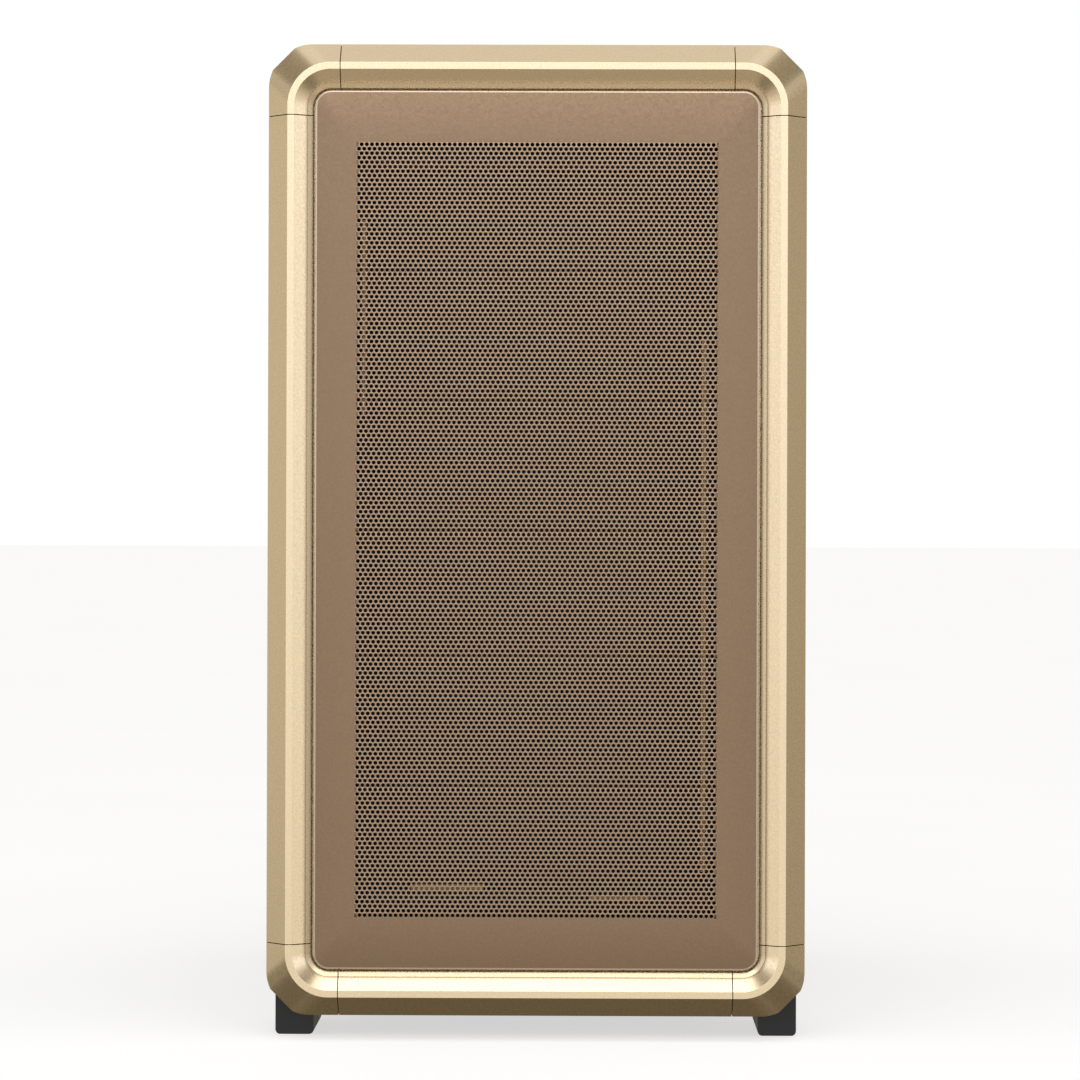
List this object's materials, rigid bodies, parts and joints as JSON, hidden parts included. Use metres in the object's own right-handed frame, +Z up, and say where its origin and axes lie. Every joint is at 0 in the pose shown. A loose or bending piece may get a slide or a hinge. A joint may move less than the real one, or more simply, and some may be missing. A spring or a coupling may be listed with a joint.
{
  "type": "desktop computer tower",
  "caption": "Tower case for a desktop computer with a perforated front, glass side, removable covers, fans, board, cards and power supply inside.",
  "frame": {"origin": "centre of the tower's footprint, on the floor", "axes": "+Z up, -Y out of the perforated front, -X out of the glass side"},
  "size_m": [0.25, 0.45, 0.462],
  "materials": {
    "frame_metal": "bead-blasted, champagne-gold anodised",
    "bronze_sheet": "bronze anodised look, satin",
    "gold_paint": "satin gold paint on steel",
    "black_sheet": "fine-textured black powder coat",
    "foot_rubber": "moulded, matt",
    "tinted_glass": "tempered, tinted, polished",
    "port_steel": "stamped steel",
    "button_metal": "anodised, turned",
    "black_plastic": "moulded, fine texture",
    "rotor_plastic": "moulded, satin",
    "circuit_board": "glass-fibre board, black solder mask",
    "connector_plastic": "moulded nylon",
    "dark_heatsink": "black anodised, brushed",
    "processor_nickel": "nickel-plated copper, matt",
    "copper_nickel": "nickel-plated copper",
    "fin_aluminium": "rolled sheet, bare",
    "screw_steel": "black-zinc plated",
    "drive_metal": "anodised, brushed",
    "cable_sleeve": "braided sleeve"
  },
  "bodies": {
    "chassis": {"front_rail_left": "frame_metal", "front_rail_right": "frame_metal", "front_rail_top": "frame_metal", "front_rail_bottom": "frame_metal", "front_corner_top_left": "frame_metal", "front_corner_top_right": "frame_metal", "front_corner_bottom_left": "frame_metal", "front_corner_bottom_right": "frame_metal", "rear_frame": "frame_metal", "upper_corner_rails": "frame_metal", "lower_corner_rails": "frame_metal", "io_bezel": "bronze_sheet", "chassis_front_plate": "gold_paint", "fan_bracket": "black_sheet", "chassis_floor": "black_sheet", "chassis_roof": "black_sheet", "motherboard_tray": "black_sheet", "chassis_rear_plate": "black_sheet", "psu_shroud": "black_sheet", "slot_covers": "black_sheet", "psu_case": "black_sheet", "feet": "foot_rubber", "front_io_board": "port_steel", "front_fan_frame_lower": "black_plastic", "front_fan_frame_upper": "black_plastic", "rear_fan_frame": "black_plastic", "cooler_fan_frame": "black_plastic", "motherboard": "circuit_board", "board_connectors": "connector_plastic", "board_heatsinks": "dark_heatsink", "rear_port_block": "port_steel", "processor": "processor_nickel", "memory_modules": "dark_heatsink", "cooler_base": "copper_nickel", "cooler_fins": "fin_aluminium", "graphics_board": "circuit_board", "graphics_heatsink": "fin_aluminium", "graphics_shroud": "black_plastic", "graphics_bracket": "port_steel", "power_inlet": "connector_plastic", "rear_screws": "screw_steel", "ssd": "drive_metal", "main_power_cable": "cable_sleeve", "graphics_power_cable": "cable_sleeve"},
    "front_cover": {"front_panel": "bronze_sheet"},
    "glass_cover": {"glass_panel": "tinted_glass", "glass_panel_rails": "black_sheet"},
    "steel_cover": {"side_panel": "bronze_sheet"},
    "top_cover": {"top_panel": "bronze_sheet"},
    "filter_tray": {"psu_filter": "black_plastic"},
    "power_button": {"power_button": "button_metal"},
    "reset_button": {"reset_button": "button_metal"},
    "front_fan_lower": {"front_fan_rotor_lower": "rotor_plastic"},
    "front_fan_upper": {"front_fan_rotor_upper": "rotor_plastic"},
    "rear_fan": {"rear_fan_rotor": "rotor_plastic"},
    "cooler_fan": {"cooler_fan_rotor": "rotor_plastic"},
    "graphics_fan_front": {"graphics_fan_front": "rotor_plastic"},
    "graphics_fan_rear": {"graphics_fan_rear": "rotor_plastic"},
    "psu_fan": {"psu_fan_rotor": "rotor_plastic"},
    "psu_switch": {"psu_rocker": "connector_plastic"}
  },
  "joints": [
    {"name": "front_cover_pull", "type": "slide", "parent": "chassis", "child": "front_cover", "axis": [0, -1, 0], "range_m": [0, 0.12]},
    {"name": "glass_cover_pull", "type": "slide", "parent": "chassis", "child": "glass_cover", "axis": [-1, 0, 0], "range_m": [0, 0.12]},
    {"name": "steel_cover_pull", "type": "slide", "parent": "chassis", "child": "steel_cover", "axis": [1, 0, 0], "range_m": [0, 0.12]},
    {"name": "top_cover_lift", "type": "slide", "parent": "chassis", "child": "top_cover", "axis": [0, 0, 1], "range_m": [0, 0.1]},
    {"name": "filter_slide", "type": "slide", "parent": "chassis", "child": "filter_tray", "axis": [0, 1, 0], "range_m": [0, 0.16]},
    {"name": "power_button_press", "type": "slide", "parent": "chassis", "child": "power_button", "axis": [0, 0, -1], "range_m": [0, 0.0015], "stiffness_N_per_m": 600, "springref_m": -0.0015},
    {"name": "reset_button_press", "type": "slide", "parent": "chassis", "child": "reset_button", "axis": [0, 0, -1], "range_m": [0, 0.001], "stiffness_N_per_m": 500, "springref_m": -0.001},
    {"name": "front_fan_lower_spin", "type": "hinge", "parent": "chassis", "child": "front_fan_lower", "pos_m": [0, -0.1781, 0.1655], "axis": [0, 1, 0], "continuous": true},
    {"name": "front_fan_upper_spin", "type": "hinge", "parent": "chassis", "child": "front_fan_upper", "pos_m": [0, -0.1781, 0.3075], "axis": [0, 1, 0], "continuous": true},
    {"name": "rear_fan_spin", "type": "hinge", "parent": "chassis", "child": "rear_fan", "pos_m": [-0.044, 0.1913, 0.372], "axis": [0, 1, 0], "continuous": true},
    {"name": "cooler_fan_spin", "type": "hinge", "parent": "chassis", "child": "cooler_fan", "pos_m": [-0.0114, 0.0693, 0.3422], "axis": [0, 1, 0], "continuous": true},
    {"name": "graphics_fan_front_spin", "type": "hinge", "parent": "chassis", "child": "graphics_fan_front", "pos_m": [0.0211, 0.0054, 0.2204], "axis": [0, 0, 1], "continuous": true},
    {"name": "graphics_fan_rear_spin", "type": "hinge", "parent": "chassis", "child": "graphics_fan_rear", "pos_m": [0.0211, 0.1234, 0.2204], "axis": [0, 0, 1], "continuous": true},
    {"name": "psu_fan_spin", "type": "hinge", "parent": "chassis", "child": "psu_fan", "pos_m": [0.012, 0.1288, 0.0361], "axis": [0, 0, 1], "continuous": true},
    {"name": "psu_switch_rock", "type": "hinge", "parent": "chassis", "child": "psu_switch", "pos_m": [0.056, 0.2048, 0.0601], "axis": [1, 0, 0], "range_deg": [0, 14]}
  ]
}
